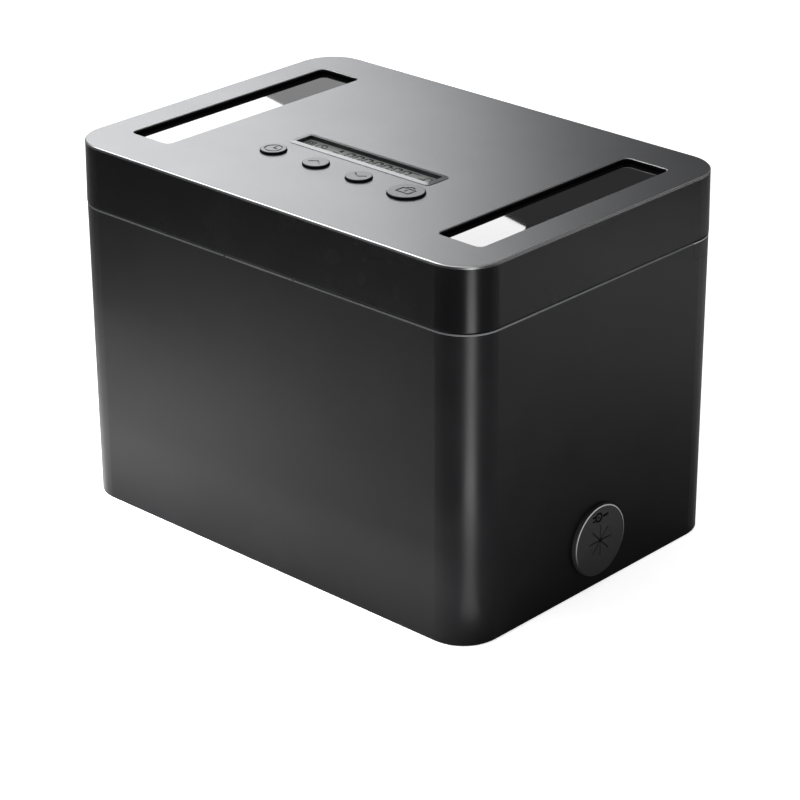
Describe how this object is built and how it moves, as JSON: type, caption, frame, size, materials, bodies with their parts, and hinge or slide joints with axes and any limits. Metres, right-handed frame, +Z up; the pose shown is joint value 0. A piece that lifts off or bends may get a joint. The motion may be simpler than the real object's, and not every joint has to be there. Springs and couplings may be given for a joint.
{
  "type": "timed lock container",
  "caption": "Rectangular box with a hinged lid, two long windows, a display and push buttons; a motor bolt in the lid holds it shut until the set time is over.",
  "frame": {"origin": "middle of the box on the surface that its feet stand on", "axes": "+X along the length towards the cable grommet, -Y is the front where the bolt locks, +Y is the hinge side, +Z up"},
  "size_m": [0.2135, 0.15, 0.1542],
  "materials": {
    "case_black": "fine matte texture",
    "lid_black": "semi-gloss",
    "plate_silver": "satin",
    "smoked_acrylic": "clear smoked, polished",
    "trim_black": "satin",
    "bezel_silver": "satin silver",
    "display_glass": "grey liquid-crystal panel",
    "light_guide": "white",
    "moulding_black": "plain moulded",
    "button_grey": "satin",
    "board_green": "solder mask",
    "switch_black": "moulded",
    "plunger_white": "moulded",
    "rubber_black": "matt",
    "zinc_steel": "zinc plated",
    "motor_steel": "nickel plated",
    "gearbox_brass": "machined",
    "acetal_grey": "acetal",
    "acetal_white": "acetal",
    "cell_wrap": "plain wrapped battery cell",
    "contact_nickel": "nickel plated",
    "wire_red": "insulated wire"
  },
  "bodies": {
    "case": {"body_shell": "case_black", "cable_grommet": "rubber_black", "front_catch": "trim_black", "catch_screws": "zinc_steel", "hinge_cap_right": "case_black", "hinge_cap_left": "case_black", "hinge_pin_right": "zinc_steel", "hinge_pin_left": "zinc_steel", "foot_front_left": "rubber_black", "foot_front_right": "rubber_black", "foot_rear_left": "rubber_black", "foot_rear_right": "rubber_black"},
    "lid": {"lid_shell": "lid_black", "top_plate": "plate_silver", "display_bezel": "bezel_silver", "display_panel": "display_glass", "display_backlight": "light_guide", "display_holder": "moulding_black", "control_board": "board_green", "board_screws": "zinc_steel", "buzzer": "switch_black", "microcontroller": "switch_black", "inner_cover": "moulding_black", "cover_screws": "zinc_steel", "battery_springs": "contact_nickel", "battery_contacts": "contact_nickel", "battery_door": "moulding_black", "door_screw": "zinc_steel", "lock_housing": "moulding_black", "lock_screws": "zinc_steel", "gearbox": "gearbox_brass", "lock_motor": "motor_steel", "motor_leads": "wire_red", "window_left": "smoked_acrylic", "window_right": "smoked_acrylic", "window_frame_left": "trim_black", "window_frame_right": "trim_black", "battery_cell_1": "cell_wrap", "battery_cell_2": "cell_wrap", "battery_cell_3": "cell_wrap", "battery_cell_4": "cell_wrap", "mode_switch": "switch_black", "up_switch": "switch_black", "down_switch": "switch_black", "lock_switch": "switch_black"},
    "latch_bolt": {"latch_bolt": "acetal_grey"},
    "drive_pinion": {"drive_pinion": "acetal_white", "motor_shaft": "zinc_steel"},
    "mode_button": {"mode_button": "button_grey", "mode_plunger": "plunger_white"},
    "up_button": {"up_button": "button_grey", "up_plunger": "plunger_white"},
    "down_button": {"down_button": "button_grey", "down_plunger": "plunger_white"},
    "lock_button": {"lock_button": "button_grey", "lock_plunger": "plunger_white"}
  },
  "joints": [
    {"name": "lid_hinge", "type": "hinge", "parent": "case", "child": "lid", "pos_m": [0, 0.0712, 0.1232], "axis": [-1, 0, 0], "range_deg": [0, 100]},
    {"name": "mode_press", "type": "slide", "parent": "lid", "child": "mode_button", "axis": [0, 0, -1], "range_m": [0, 0.0005], "stiffness_N_per_m": 2500},
    {"name": "up_press", "type": "slide", "parent": "lid", "child": "up_button", "axis": [0, 0, -1], "range_m": [0, 0.0005], "stiffness_N_per_m": 2500},
    {"name": "down_press", "type": "slide", "parent": "lid", "child": "down_button", "axis": [0, 0, -1], "range_m": [0, 0.0005], "stiffness_N_per_m": 2500},
    {"name": "lock_press", "type": "slide", "parent": "lid", "child": "lock_button", "axis": [0, 0, -1], "range_m": [0, 0.0005], "stiffness_N_per_m": 2500},
    {"name": "bolt_slide", "type": "slide", "parent": "lid", "child": "latch_bolt", "axis": [0, -1, 0], "range_m": [0, 0.005]},
    {"name": "pinion_spin", "type": "hinge", "parent": "lid", "child": "drive_pinion", "pos_m": [0, -0.055, 0.12305], "axis": [-1, 0, 0], "range_deg": [0, 59.7]}
  ],
  "couplings": [
    {"joint": "pinion_spin", "follows": "bolt_slide", "rad_per_m": 208.33}
  ]
}
